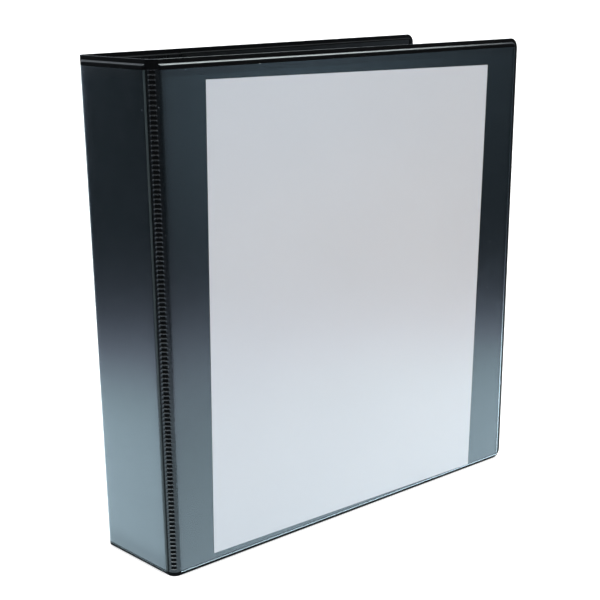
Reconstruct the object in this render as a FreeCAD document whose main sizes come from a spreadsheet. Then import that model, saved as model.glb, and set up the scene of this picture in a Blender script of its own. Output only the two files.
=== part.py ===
import FreeCAD, Part
import math
import os
import Sketcher

# A three-ring view binder standing on its bottom edge, in millimetres.
#
# +Z is up, the spine faces -X, the front cover faces -Y and the back cover faces +Y.
# The origin is the middle of the closed case's footprint, on the surface it stands on.
#
# Covers and spine are panels with one local frame each: X runs along the panel, Y is up
# and Z is the panel's normal. A cover's X starts at its hinge web, and its Z points to -Y,
# which is outwards on the front cover and inwards on the back cover. The spine's X starts
# at its middle and its Z points outwards.

DIMENSIONS = [
    ("case_height", 298.5, "height of covers and spine"),
    ("cover_width", 273.0, "hinge web to free edge"),
    ("spine_width", 54.0, "spine panel between its hinge webs"),
    ("web_length", 7.0, "living hinge, measured round its bend"),
    ("web_reach", 3.75, "hinge axis to the edge of each panel it joins"),
    ("front_open", 9.5, "degrees that the front cover stands open"),
    ("back_open", -4.1, "degrees that the back cover stands open; below zero it leans in"),
    ("flange", 2.8, "weld margin round each panel"),
    ("hinge_margin", 0.45, "weld margin along a hinge web"),
    ("corner_radius", 6.0, "free corners of the covers"),
    ("board", 2.4, "greyboard thickness"),
    ("vinyl", 0.35, "skin thickness"),
    ("film", 0.2, "overlay and pocket film thickness"),
    ("pocket_room", 0.4, "space between outer skin and overlay"),
    ("film_room", 0.05, "space between a skin's raised edge and the film over it"),
    ("shoulder", 0.6, "rounding of a skin over the board's edge"),
    ("film_shoulder", 0.42, "rounding of a film over the board's edge"),
    ("overlay_top", 293.0, "height of the overlays' open mouth"),
    ("web_groove", 0.12, "depth of the embossed band along a hinge web"),
    ("insert_width", 215.9, "cover sheet, letter size"),
    ("insert_height", 279.4, "cover sheet, letter size"),
    ("insert_sheet", 0.25, "cover sheet thickness"),
    ("insert_gap", 0.07, "cover sheet to outer skin"),
    ("insert_across", 23.2, "hinge web to the cover sheet's lower corner"),
    ("insert_up", 7.2, "base to the cover sheet's lower corner"),
    ("insert_lean", 1.0, "degrees that the cover sheet leans towards the free edge"),
    ("pocket_across", 66.0, "hinge web to the inner pockets' open edge"),
    ("inner_room", 0.1, "space between inner skin and inner pocket"),
    ("housing_across", 38.0, "back hinge web to the middle of the ring housing"),
    ("housing_length", 250.0, "ring housing, along the spine"),
    ("housing_width", 26.0, "ring housing, across"),
    ("housing_crown", 7.4, "top of the housing above the cover"),
    ("housing_side", 5.0, "height of the housing's upright sides"),
    ("crown_width", 19.0, "flat of the housing's crown"),
    ("steel", 0.9, "housing sheet thickness"),
    ("hem", 0.4, "how far the housing's rolled hem reaches past its side wall"),
    ("pivot_across", 11.6, "housing middle to a blade's outer edge pivot"),
    ("pivot_up", 2.35, "height of the blade pivots above the cover"),
    ("blade_length", 237.2, "toggle blades, along the spine"),
    ("blade", 1.2, "toggle blade thickness"),
    ("blade_edge", 0.3, "blade beyond its pivot"),
    ("blade_gap", 0.2, "housing middle to a blade's inner edge"),
    ("blade_tilt", 3.0, "degrees that the closed blades dip towards the middle"),
    ("wire", 2.0, "ring wire radius"),
    ("ring_pitch", 107.95, "ring to ring, the US three-hole pattern"),
    ("post_across", 8.6, "housing middle to a ring's straight posts"),
    ("ring_foot", 2.95, "foot of the ring wires above the cover"),
    ("ring_top", 49.6, "centre line of the rings' top above the cover"),
    ("ring_bulge", 23.0, "housing middle to the centre line of the rings' curved side"),
    ("ring_neck", 11.0, "height where the curved side turns outwards"),
    ("ring_split", 1.0, "housing middle to the rings' parting, on the curved side"),
    ("split_gap", 0.1, "each ring half's tip to the parting"),
    ("stake", 1.25, "radius of a ring wire's staked foot"),
    ("stake_depth", 1.75, "length of a staked foot"),
    ("stake_hole", 1.35, "radius of the blade's holes for the staked feet"),
    ("slot_start", 6.0, "housing middle to the near end of a ring slot"),
    ("slot_end", 12.4, "housing middle to the far end of a ring slot"),
    ("slot_width", 5.5, "ring slot, along the housing"),
    ("rivet_pitch", 180.0, "rivet to rivet"),
    ("rivet_shank", 2.5, "rivet shank radius"),
    ("rivet_cap", 5.5, "rivet cap radius"),
    ("rivet_room", 0.05, "round a rivet's shank in its holes"),
    ("rivet_notch", 3.7, "housing middle to the bottom of a blade's rivet notch"),
    ("lever_out", 121.0, "housing middle to a lever's pin"),
    ("lever_up", 3.4, "height of a lever's pin above the cover"),
    ("lever_pin", 1.0, "lever pin radius"),
    ("pin_room", 0.05, "running clearance round a lever's pin"),
    ("lever_hub", 2.1, "radius of a lever's hub"),
    ("lever_width", 18.0, "thumb lever, across"),
    ("tongue_width", 7.0, "tongue that lifts the blades, across"),
    ("tongue_room", 0.3, "cover to the underside of a lever's tongue"),
    ("tongue_drop", 1.3, "blade pivots to the top of a lever's tongue"),
]

doc = FreeCAD.newDocument("ring_binder")
sheet = doc.addObject("Spreadsheet::Sheet", "Dim")
for row, (alias, size, note) in enumerate(DIMENSIONS, start=1):
    sheet.set(f"A{row}", note)
    sheet.set(f"B{row}", str(size))
    sheet.setAlias(f"B{row}", alias)
doc.recompute()

OUT, IN = 1, -1
TOP, BOTTOM = 1, -1
LEFT, RIGHT = -1, 1
FRONT, BACK = -1, 1
TOLERANCE = 1e-4
bodies = []


def size(expression):
    return float(sheet.evalExpression(str(expression)))


# Levels on a panel, measured from the middle of its board.
SKIN_FACE = "(Dim.board / 2 + Dim.vinyl)"
OVERLAY_FACE = f"({SKIN_FACE} + Dim.pocket_room + Dim.film)"
INNER_POCKET_FACE = f"({SKIN_FACE} + Dim.inner_room + Dim.film)"


# ---- placements ----

def up_rotation(along):
    """Turns local X to a level direction and local Y to straight up."""
    up = FreeCAD.Vector(0, 0, 1)
    return FreeCAD.Rotation(along, up, along.cross(up), "ZXY")


def bend_radius(opened):
    return size("Dim.web_length") / math.radians(90 - opened)


def cover_placement(side, opened):
    """A cover's frame at the end of its hinge web, which bends round from the spine's edge."""
    turn = math.radians(90 - opened)
    bend = bend_radius(opened)
    start_x = bend * (1 - math.cos(turn))
    start_y = side * (size("Dim.spine_width") / 2 + bend * math.sin(turn))
    along = FreeCAD.Vector(math.sin(turn), side * math.cos(turn), 0)
    return FreeCAD.Placement(FreeCAD.Vector(start_x, start_y, 0), up_rotation(along))


def to_origin(placements):
    """The shift that brings the middle of the case's footprint to the origin."""
    half = size("Dim.vinyl + Dim.film")
    corners = [FreeCAD.Vector(-size(OVERLAY_FACE), 0, 0)]
    for placement in placements:
        for across in (0, size("Dim.cover_width")):
            corners += [placement.multVec(FreeCAD.Vector(across, 0, w)) for w in (-half, half)]
    xs = [corner.x for corner in corners]
    ys = [corner.y for corner in corners]
    return FreeCAD.Placement(
        FreeCAD.Vector(-(min(xs) + max(xs)) / 2, -(min(ys) + max(ys)) / 2, 0),
        FreeCAD.Rotation(),
    )


def moved(placement, x=0, y=0, z=0, axis=None, degrees=0):
    """A frame shifted in its own axes, then turned about its own X, Y or Z."""
    turn = FreeCAD.Rotation(axis, degrees) if axis else FreeCAD.Rotation()
    return placement.multiply(FreeCAD.Placement(FreeCAD.Vector(x, y, z), turn))


front_frame = cover_placement(FRONT, size("Dim.front_open"))
back_frame = cover_placement(BACK, size("Dim.back_open"))
case_frame = to_origin([front_frame, back_frame])
front_frame = case_frame.multiply(front_frame)
back_frame = case_frame.multiply(back_frame)
spine_frame = case_frame.multiply(
    FreeCAD.Placement(FreeCAD.Vector(), up_rotation(FreeCAD.Vector(0, -1, 0)))
)
# The ring mechanism's frame: X across the housing, Y along it, Z off the back cover.
rings_frame = moved(
    back_frame, size("Dim.housing_across"), size("Dim.case_height / 2"), size(SKIN_FACE)
)


# ---- sketching ----

def new_body(name, placement):
    body = doc.addObject("PartDesign::Body", name)
    body.Label = name
    body.Placement = placement
    bodies.append(body)
    return body


def new_sketch(body, plane, level="0"):
    """A sketch on one of the body's origin planes, lifted along the plane's normal."""
    sketch = body.newObject("Sketcher::SketchObject", f"{body.Name}_sketch")
    origin_plane = [f for f in body.Origin.OriginFeatures if f.Role == f"{plane}_Plane"][0]
    sketch.AttachmentSupport = [(origin_plane, "")]
    sketch.MapMode = "FlatFace"
    sketch.setExpression(".AttachmentOffset.Base.z", str(level))
    return sketch


def fix(sketch, kind, reference, expression):
    """A driving dimension bound to an expression."""
    constraint = Sketcher.Constraint(kind, *reference, size(expression))
    number = sketch.addConstraint(constraint)
    sketch.setExpression(f"Constraints[{number}]", str(expression))


def fix_point(sketch, element, end, x, y):
    fix(sketch, "DistanceX", (-1, 1, element, end), x)
    fix(sketch, "DistanceY", (-1, 1, element, end), y)


def draw_circle(sketch, x, y, radius):
    centre = FreeCAD.Vector(size(x), size(y), 0)
    circle = Part.Circle(centre, FreeCAD.Vector(0, 0, 1), size(radius))
    element = sketch.addGeometry(circle)
    fix_point(sketch, element, 3, x, y)
    fix(sketch, "Radius", (element,), radius)


def corner_cut(before, corner, after, radius):
    """Tangent points, centre and turn (+1 is to the left) of a rounded corner."""
    towards = (before - corner).normalize()
    away = (after - corner).normalize()
    half = towards.getAngle(away) / 2
    reach = radius / math.tan(half)
    middle = (towards + away).normalize() * (radius / math.sin(half))
    turn = 1 if away.cross(towards).z > 0 else -1
    return corner + towards * reach, corner + away * reach, corner + middle, turn


def draw_path(sketch, corners, closed=True):
    """Straight runs through (x, y) or (x, y, radius) corners, each radius a tangent arc."""
    spots = [FreeCAD.Vector(size(corner[0]), size(corner[1]), 0) for corner in corners]
    count = len(spots)
    cuts = []
    for i, corner in enumerate(corners):
        if len(corner) == 3:
            cuts.append(corner_cut(spots[i - 1], spots[i], spots[(i + 1) % count], size(corner[2])))
        else:
            cuts.append((spots[i], spots[i], None, 0))
    runs = []
    for i in range(count if closed else count - 1):
        line = Part.LineSegment(cuts[i][1], cuts[(i + 1) % count][0])
        runs.append(sketch.addGeometry(line))
    for i, corner in enumerate(corners):
        before = runs[i - 1] if closed or i > 0 else None
        after = runs[i] if i < len(runs) else None
        if len(corner) == 3:
            round_corner(sketch, corner, spots[i], cuts[i], before, after)
        elif after is None:
            fix_point(sketch, before, 2, corner[0], corner[1])
        else:
            fix_point(sketch, after, 1, corner[0], corner[1])
            if before is not None:
                sketch.addConstraint(Sketcher.Constraint("Coincident", before, 2, after, 1))


def round_corner(sketch, corner, spot, cut, before, after):
    x, y, radius = corner
    first, last, centre, turn = cut
    start, end = (first, last) if turn > 0 else (last, first)
    circle = Part.Circle(centre, FreeCAD.Vector(0, 0, 1), size(radius))
    arc = Part.ArcOfCircle(circle, circle.parameter(start), circle.parameter(end))
    element = sketch.addGeometry(arc)
    point = sketch.addGeometry(Part.Point(spot), True)
    first_end, last_end = (1, 2) if turn > 0 else (2, 1)
    fix_point(sketch, point, 1, x, y)
    for run in (before, after):
        sketch.addConstraint(Sketcher.Constraint("PointOnObject", point, 1, run))
    sketch.addConstraint(Sketcher.Constraint("Tangent", before, 2, element, first_end))
    sketch.addConstraint(Sketcher.Constraint("Tangent", element, last_end, after, 1))
    fix(sketch, "Radius", (element,), radius)


def plate(left, right, bottom, top, radii=(None, None, None, None)):
    """A rectangle's corners, anticlockwise from the lower left, with a radius where given."""
    corners = [(left, bottom), (right, bottom), (right, top), (left, top)]
    return [c + (r,) if r else c for c, r in zip(corners, radii)]


# ---- features ----

def extrude(body, kind, sketch, length, towards=OUT, symmetric=False):
    """A Pad or Pocket along the sketch's normal (OUT), against it (IN) or both ways."""
    feature = body.newObject(f"PartDesign::{kind}", f"{body.Name}_{kind.lower()}")
    feature.Profile = sketch
    feature.setExpression("Length", str(length))
    if symmetric:
        feature.SideType = "Symmetric"
    elif kind == "Pad":
        feature.Reversed = towards == IN
    else:
        feature.Reversed = towards == OUT
    doc.recompute()


def cut(body, sketch, length, towards=OUT, symmetric=False):
    volume = body.Shape.Volume
    extrude(body, "Pocket", sketch, length, towards, symmetric)
    if body.Shape.Volume >= volume:
        raise RuntimeError(f"{body.Label}: a pocket cuts nothing")


def pad(body, plane, corners, length, level="0", towards=OUT, symmetric=False):
    sketch = new_sketch(body, plane, level)
    draw_path(sketch, corners)
    extrude(body, "Pad", sketch, length, towards, symmetric)


def pocket(body, plane, outlines, length, level="0", towards=OUT):
    sketch = new_sketch(body, plane, level)
    for corners in outlines:
        draw_path(sketch, corners)
    cut(body, sketch, length, towards)


def drill(body, plane, spots, radius, length, level="0", symmetric=False):
    sketch = new_sketch(body, plane, level)
    for x, y in spots:
        draw_circle(sketch, x, y, radius)
    cut(body, sketch, length, symmetric=symmetric)


def round_edges(body, radius, chosen):
    """Rounds the edges of the body whose bounding box passes the test."""
    base = body.Tip
    names = [f"Edge{i}" for i, e in enumerate(base.Shape.Edges, 1) if chosen(e.BoundBox)]
    if not names:
        raise RuntimeError(f"{body.Label}: no edge to round")
    fillet = body.newObject("PartDesign::Fillet", f"{body.Name}_rounding")
    fillet.Base = (base, names)
    fillet.setExpression("Radius", str(radius))
    doc.recompute()


# ---- the case ----

def pan(name, frame, towards, outlines, start, thickness, face, shoulder, mouth="Dim.case_height"):
    """A formed sheet: a flat rim, and a field raised over the board or the pocket's room.

    The rim starts at level start, the field's outer face is at level face, and an edge as
    high as the mouth stays square.
    """
    rim, field, well = outlines
    level = start if towards == OUT else f"-({start})"
    body = new_body(name, frame)
    pad(body, "XY", rim, thickness, level, towards)
    pad(body, "XY", field, f"{face} - ({start})", level, towards)
    pocket(body, "XY", [well], f"{face} - ({start}) - {thickness}", level, towards)
    top = towards * size(face)

    def borders_the_face(box):
        in_face = abs(box.ZMin - top) < TOLERANCE and abs(box.ZMax - top) < TOLERANCE
        return in_face and box.YMin < size(mouth) - TOLERANCE

    round_edges(body, shoulder, borders_the_face)
    return body


def free_corners(free_edge, radius, top=True):
    """A panel's corner radii: only the corners on a free edge, which is the right one, are round."""
    if not free_edge:
        return (None,) * 4
    return (None, radius, radius if top else None, None)


def skin_outlines(left, right, free_edge):
    """Rim, raised field and board well of a skin."""
    margin = "Dim.flange" if free_edge else "Dim.hinge_margin"
    inner = "(Dim.corner_radius - Dim.flange)"
    rim = plate(left, right, "0", "Dim.case_height", free_corners(free_edge, "Dim.corner_radius"))
    field = plate(
        f"{left} + Dim.hinge_margin",
        f"{right} - {margin}",
        "Dim.flange",
        "Dim.case_height - Dim.flange",
        free_corners(free_edge, inner),
    )
    well = plate(
        f"{left} + Dim.hinge_margin + Dim.vinyl",
        f"{right} - {margin} - Dim.vinyl",
        "Dim.flange + Dim.vinyl",
        "Dim.case_height - Dim.flange - Dim.vinyl",
        free_corners(free_edge, f"{inner} - Dim.vinyl"),
    )
    return rim, field, well


def make_board(name, frame, well):
    body = new_body(name, frame)
    pad(body, "XY", well, "Dim.board", symmetric=True)
    return body


def make_skin(name, frame, towards, outlines):
    return pan(name, frame, towards, outlines, "0", "Dim.vinyl", SKIN_FACE, "Dim.shoulder")


def overlay_outlines(left, right, free_edge):
    """Rim, raised field and room of an overlay that is open at its top."""
    margin = "Dim.flange" if free_edge else "Dim.hinge_margin"
    inner = "Dim.corner_radius - Dim.flange + Dim.film_room"
    rim = plate(
        left, right, "0", "Dim.overlay_top", free_corners(free_edge, "Dim.corner_radius", top=False)
    )
    field = plate(
        f"{left} + Dim.hinge_margin - Dim.film_room - Dim.film",
        f"{right} - {margin} + Dim.film_room + Dim.film",
        "Dim.flange - Dim.film_room - Dim.film",
        "Dim.overlay_top",
        free_corners(free_edge, f"{inner} + Dim.film", top=False),
    )
    well = plate(
        f"{left} + Dim.hinge_margin - Dim.film_room",
        f"{right} - {margin} + Dim.film_room",
        "Dim.flange - Dim.film_room",
        "Dim.overlay_top",
        free_corners(free_edge, inner, top=False),
    )
    return rim, field, well


def make_overlay(name, frame, towards, outlines):
    return pan(
        name,
        frame,
        towards,
        outlines,
        "Dim.vinyl",
        "Dim.film",
        OVERLAY_FACE,
        "Dim.film_shoulder",
        mouth="Dim.overlay_top",
    )


def make_inner_pocket(name, frame, towards):
    """A film pocket on a cover's inside, open towards the spine."""
    left, right, top = "Dim.pocket_across", "Dim.cover_width", "Dim.case_height"
    inner = "Dim.corner_radius - Dim.flange + Dim.film_room"
    rim = plate(left, right, "0", top, free_corners(True, "Dim.corner_radius"))
    field = plate(
        left,
        f"{right} - Dim.flange + Dim.film_room + Dim.film",
        "Dim.flange - Dim.film_room - Dim.film",
        f"{top} - Dim.flange + Dim.film_room + Dim.film",
        free_corners(True, f"{inner} + Dim.film"),
    )
    well = plate(
        f"{left} - Dim.flange",
        f"{right} - Dim.flange + Dim.film_room",
        "Dim.flange - Dim.film_room",
        f"{top} - Dim.flange + Dim.film_room",
        free_corners(True, inner),
    )
    body = new_body(name, frame)
    level = "Dim.vinyl" if towards == OUT else "-Dim.vinyl"
    pad(body, "XY", rim, "Dim.film", level, towards)
    pad(body, "XY", field, f"{INNER_POCKET_FACE} - Dim.vinyl", level, towards)
    pocket(body, "XY", [well], f"{INNER_POCKET_FACE} - Dim.vinyl - Dim.film", level, towards)


def make_insert():
    """The cover sheet, leaning in its pocket and resting on one lower corner."""
    frame = moved(
        front_frame,
        size("Dim.insert_across"),
        size("Dim.insert_up"),
        axis=FreeCAD.Vector(0, 0, 1),
        degrees=-size("Dim.insert_lean"),
    )
    body = new_body("cover_insert", frame)
    sheet_corners = plate("0", "Dim.insert_width", "0", "Dim.insert_height")
    pad(body, "XY", sheet_corners, "Dim.insert_sheet", f"{SKIN_FACE} + Dim.insert_gap")


def draw_bend(sketch, side, opened, inner, outer, first, last):
    """A closed strip of a hinge web's bend, between two fractions of its turn."""
    radius = f"Dim.web_length / ((90 - {opened}) * pi / 180)"
    centre_x = size(radius)
    centre_y = side * size("Dim.spine_width / 2")
    centre = FreeCAD.Vector(centre_x, centre_y, 0)
    turn = math.radians(90 - size(opened))
    angles = sorted(math.pi - side * turn * part for part in (first, last))
    arcs = []
    for reach in (inner, outer):
        circle = Part.Circle(centre, FreeCAD.Vector(0, 0, 1), size(f"{radius} + {reach}"))
        arcs.append(sketch.addGeometry(Part.ArcOfCircle(circle, *angles)))
        fix(sketch, "Radius", (arcs[-1],), f"{radius} + {reach}")
        fix_point(sketch, arcs[-1], 3, radius, f"{side} * Dim.spine_width / 2")
    for end, angle in zip((1, 2), angles):
        ray = FreeCAD.Vector(math.cos(angle), math.sin(angle), 0)
        run = sketch.addGeometry(
            Part.LineSegment(
                centre + ray * size(f"{radius} + {inner}"),
                centre + ray * size(f"{radius} + {outer}"),
            )
        )
        sketch.addConstraint(Sketcher.Constraint("Coincident", arcs[0], end, run, 1))
        sketch.addConstraint(Sketcher.Constraint("Coincident", arcs[1], end, run, 2))
        sketch.addConstraint(Sketcher.Constraint("Angle", run, angle))
        sketch.addConstraint(Sketcher.Constraint("PointOnObject", arcs[0], 3, run))


def make_web(name, side, opened):
    """A living hinge: both skins welded flat, with an embossed band along the outside."""
    body = new_body(name, case_frame)
    strip = new_sketch(body, "XY")
    draw_bend(strip, side, opened, "-Dim.vinyl", "Dim.vinyl", 0, 1)
    extrude(body, "Pad", strip, "Dim.case_height")
    band = new_sketch(body, "XY", "Dim.flange")
    draw_bend(band, side, opened, "Dim.vinyl - Dim.web_groove", "2 * Dim.vinyl", 0.25, 0.75)
    cut(body, band, "Dim.overlay_top - 2 * Dim.flange")


def make_cover(prefix, frame, outside, holes):
    """Board, two skins, overlay and inner pocket of a cover; holes take the rivets."""
    outlines = skin_outlines("0", "Dim.cover_width", True)
    clear = overlay_outlines("0", "Dim.cover_width", True)
    pieces = [
        make_board(f"{prefix}_board", frame, outlines[2]),
        make_skin(f"{prefix}_outer_skin", frame, outside, outlines),
        make_skin(f"{prefix}_inner_skin", frame, -outside, outlines),
        make_overlay(f"{prefix}_overlay", frame, outside, clear),
    ]
    make_inner_pocket(f"{prefix}_inner_pocket", frame, -outside)
    if holes:
        reach = f"2 * {OVERLAY_FACE}"
        for body in pieces:
            drill(body, "XY", holes, "Dim.rivet_shank + Dim.rivet_room", reach, f"-{OVERLAY_FACE}")


def make_spine():
    half = "Dim.spine_width / 2"
    outlines = skin_outlines(f"-{half}", half, False)
    make_board("spine_board", spine_frame, outlines[2])
    make_skin("spine_outer_skin", spine_frame, OUT, outlines)
    make_skin("spine_inner_skin", spine_frame, IN, outlines)
    make_overlay("spine_overlay", spine_frame, OUT, overlay_outlines(f"-{half}", half, False))


# ---- the ring mechanism ----

RING_SPOTS = {"top": "Dim.ring_pitch", "middle": "0", "bottom": "-Dim.ring_pitch"}
RIVET_SPOTS = {"top": "Dim.rivet_pitch / 2", "bottom": "-Dim.rivet_pitch / 2"}


def housing_profile():
    """Section of the housing: its outside from left to right, then its inside back again."""
    wall, flat = "Dim.housing_width / 2", "Dim.crown_width / 2"
    inside = f"({wall} - Dim.steel)"
    profile = []
    for side in (LEFT, RIGHT):
        outer = [
            (f"{side} * ({inside} - Dim.hem)", "0"),
            (f"{side} * {wall}", "0", "Dim.steel / 2"),
            (f"{side} * {wall}", "Dim.housing_side", "1.5 * Dim.steel"),
            (f"{side} * {flat}", "Dim.housing_crown", "3 * Dim.steel"),
        ]
        profile += outer if side == LEFT else outer[::-1]
    for side in (RIGHT, LEFT):
        inner = [
            (f"{side} * ({inside} - Dim.hem)", "Dim.steel"),
            (f"{side} * {inside}", "Dim.steel"),
            (f"{side} * {inside}", "Dim.housing_side - Dim.steel / 2"),
            (f"{side} * ({flat} - Dim.steel / 3)", "Dim.housing_crown - Dim.steel"),
        ]
        profile += inner if side == RIGHT else inner[::-1]
    return profile


def make_housing():
    """Sprung sheet-steel cover plate with rolled hems that hold the blades' outer edges."""
    body = new_body("ring_housing", rings_frame)
    pad(body, "XZ", housing_profile(), "Dim.housing_length", symmetric=True)
    slots = []
    for spot in RING_SPOTS.values():
        low, high = f"{spot} - Dim.slot_width / 2", f"{spot} + Dim.slot_width / 2"
        slots.append(plate("-Dim.slot_end", "-Dim.slot_start", low, high))
        slots.append(plate("Dim.slot_start", "Dim.slot_end", low, high))
    above = "Dim.housing_side - 2 * Dim.steel"
    pocket(body, "XY", slots, "Dim.housing_crown", above)
    mouth = "Dim.lever_out - 2 * Dim.lever_hub"
    width = "(Dim.crown_width / 2 + Dim.steel)"
    ends = [
        plate(f"-{width}", width, mouth, "Dim.housing_length"),
        plate(f"-{width}", width, "-Dim.housing_length", f"-({mouth})"),
    ]
    pocket(body, "XY", ends, "Dim.housing_crown", above)
    rivets = [("0", spot) for spot in RIVET_SPOTS.values()]
    drill(body, "XY", rivets, "Dim.rivet_shank + Dim.rivet_room", "2 * Dim.housing_crown")
    pins = [("Dim.lever_out", "Dim.lever_up"), ("-Dim.lever_out", "Dim.lever_up")]
    drill(body, "YZ", pins, "Dim.lever_pin + Dim.pin_room", "2 * Dim.housing_width", symmetric=True)


def make_blade(name, side):
    """A toggle blade in its pivot's frame, notched round the rivets and bored for the rings."""
    frame = moved(
        rings_frame,
        side * size("Dim.pivot_across"),
        0,
        size("Dim.pivot_up"),
        FreeCAD.Vector(0, 1, 0),
        -side * size("Dim.blade_tilt"),
    )
    back = f"{side} * Dim.blade_edge"
    inner = f"{side} * (Dim.blade_gap - Dim.pivot_across)"
    notch = f"{side} * (Dim.rivet_notch - Dim.pivot_across)"
    end = "Dim.blade_length / 2"
    outline = [(inner, end), (back, end), (back, f"-{end}"), (inner, f"-{end}")]
    for spot in reversed(RIVET_SPOTS.values()):
        low = f"{spot} - Dim.rivet_notch"
        high = f"{spot} + Dim.rivet_notch"
        outline += [(inner, low), (notch, low), (notch, high), (inner, high)]
    body = new_body(name, frame)
    pad(body, "XY", outline, "Dim.blade", symmetric=True)
    post = f"{side} * (Dim.post_across - Dim.pivot_across)"
    spots = [(post, spot) for spot in RING_SPOTS.values()]
    drill(body, "XY", spots, "Dim.stake_hole", "2 * Dim.blade", symmetric=True)


def ring_path(side):
    """Centre line of a ring half, from its foot to its tip, across and above the cover."""
    if side == RIGHT:
        return [
            ("Dim.post_across", "Dim.ring_foot"),
            ("Dim.post_across", "Dim.ring_top", "3 * Dim.wire"),
            ("Dim.split_gap - Dim.ring_split", "Dim.ring_top"),
        ]
    neck_top = "Dim.ring_neck + Dim.ring_bulge - Dim.post_across"
    return [
        ("-Dim.post_across", "Dim.ring_foot"),
        ("-Dim.post_across", "Dim.ring_neck", "2.5 * Dim.wire"),
        ("-Dim.ring_bulge", neck_top, "4 * Dim.wire"),
        ("-Dim.ring_bulge", "Dim.ring_top", "9 * Dim.wire"),
        ("-Dim.ring_split - Dim.split_gap", "Dim.ring_top"),
    ]


def make_ring(name, side, spot):
    """Half a ring of round wire, with a staked foot, and a nose or a socket at its tip."""
    body = new_body(name, moved(rings_frame, 0, size(spot), 0))
    path = new_sketch(body, "XZ")
    draw_path(path, ring_path(side), closed=False)
    section = new_sketch(body, "XY", "Dim.ring_foot")
    draw_circle(section, f"{side} * Dim.post_across", "0", "Dim.wire")
    doc.recompute()
    pipe = body.newObject("PartDesign::AdditivePipe", f"{name}_wire")
    pipe.Profile = section
    pipe.Spine = path
    doc.recompute()
    foot = new_sketch(body, "XY", "Dim.ring_foot")
    draw_circle(foot, f"{side} * Dim.post_across", "0", "Dim.stake")
    extrude(body, "Pad", foot, "Dim.stake_depth", IN)
    make_ring_tip(body, side)


def make_ring_tip(body, side):
    """A cone on the right half's tip, and a roomier hollow for it in the left half's."""
    nose = side == RIGHT
    kind = "AdditiveCone" if nose else "SubtractiveCone"
    room = "0" if nose else "Dim.split_gap"
    overlap = "Dim.split_gap" if nose else "0"
    cone = body.newObject(f"PartDesign::{kind}", f"{body.Name}_tip")
    plane = [f for f in body.Origin.OriginFeatures if f.Role == "YZ_Plane"][0]
    cone.AttachmentSupport = [(plane, "")]
    cone.MapMode = "FlatFace"
    cone.setExpression(".AttachmentOffset.Base.y", "Dim.ring_top")
    cone.setExpression(".AttachmentOffset.Base.z", f"-Dim.ring_split - Dim.wire / 2 - {room}")
    cone.setExpression("Radius1", f"0.3 * Dim.wire + {room}")
    cone.setExpression("Radius2", f"0.55 * Dim.wire + {room}")
    cone.setExpression("Height", f"Dim.wire / 2 + {overlap} + {room}")
    doc.recompute()


def make_rivet(name, spot):
    """A rivet through the back cover and the housing's crown, its cap on the outside."""
    body = new_body(name, moved(rings_frame, 0, size(spot), 0))
    outside = f"-({SKIN_FACE} + {OVERLAY_FACE})"
    crown = "Dim.housing_crown"
    profile = [
        ("0", f"{outside} - Dim.board / 2"),
        ("Dim.rivet_cap", f"{outside} - Dim.board / 2", "Dim.board / 3"),
        ("Dim.rivet_cap", outside),
        ("Dim.rivet_shank", outside),
        ("Dim.rivet_shank", crown),
        ("1.6 * Dim.rivet_shank", crown),
        ("1.6 * Dim.rivet_shank", f"{crown} + Dim.steel", "Dim.steel / 2"),
        ("Dim.rivet_shank / 2", f"{crown} + Dim.steel"),
        ("Dim.rivet_shank / 2", f"{crown} - Dim.steel"),
        ("0", f"{crown} - Dim.steel"),
    ]
    sketch = new_sketch(body, "XZ")
    draw_path(sketch, profile)
    turned = body.newObject("PartDesign::Revolution", f"{name}_turned")
    turned.Profile = sketch
    turned.ReferenceAxis = (sketch, ["V_Axis"])
    turned.Angle = 360
    doc.recompute()


def lever_frame(end):
    """A lever's frame on its pin: Y points out of the housing's end, Z off the cover."""
    turn = 0 if end == TOP else 180
    out = end * size("Dim.lever_out")
    return moved(rings_frame, 0, out, size("Dim.lever_up"), FreeCAD.Vector(0, 0, 1), turn)


def make_lever(name, end):
    """A thumb lever: a bent arm, a hub on its pin, and a tongue under the blades' ends."""
    body = new_body(name, lever_frame(end))
    hub = new_sketch(body, "YZ")
    draw_circle(hub, "0", "0", "Dim.lever_hub")
    extrude(body, "Pad", hub, "Dim.lever_width", symmetric=True)
    arm = [
        ("-0.6 * Dim.lever_hub", "0"),
        ("0.6 * Dim.lever_hub", "0"),
        ("2 * Dim.lever_hub", "6.4 * Dim.lever_hub", "2 * Dim.lever_hub"),
        ("3.9 * Dim.lever_hub", "8.2 * Dim.lever_hub", "Dim.lever_hub / 4"),
        ("3.5 * Dim.lever_hub", "8.7 * Dim.lever_hub", "Dim.lever_hub / 4"),
        ("1.2 * Dim.lever_hub", "6.8 * Dim.lever_hub", "2.5 * Dim.lever_hub"),
    ]
    pad(body, "YZ", arm, "Dim.lever_width", symmetric=True)
    tip = "-2.15 * Dim.lever_hub"
    low = "Dim.tongue_room - Dim.lever_up"
    high = "Dim.pivot_up - Dim.tongue_drop - Dim.lever_up"
    tongue = [
        (tip, low),
        ("0.3 * Dim.lever_hub", low),
        ("0.8 * Dim.lever_hub", "-0.4 * Dim.lever_hub"),
        ("-0.7 * Dim.lever_hub", "-0.5 * Dim.lever_hub"),
        ("-Dim.lever_hub", high),
        (tip, high),
    ]
    pad(body, "YZ", tongue, "Dim.tongue_width", symmetric=True)
    room = "Dim.lever_pin + Dim.pin_room"
    drill(body, "YZ", [("0", "0")], room, "2 * Dim.lever_width", symmetric=True)


def make_lever_pin(name, end):
    body = new_body(name, lever_frame(end))
    sketch = new_sketch(body, "YZ")
    draw_circle(sketch, "0", "0", "Dim.lever_pin")
    extrude(body, "Pad", sketch, "Dim.housing_width + Dim.steel / 2", symmetric=True)


# ---- the assembly ----

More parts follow.
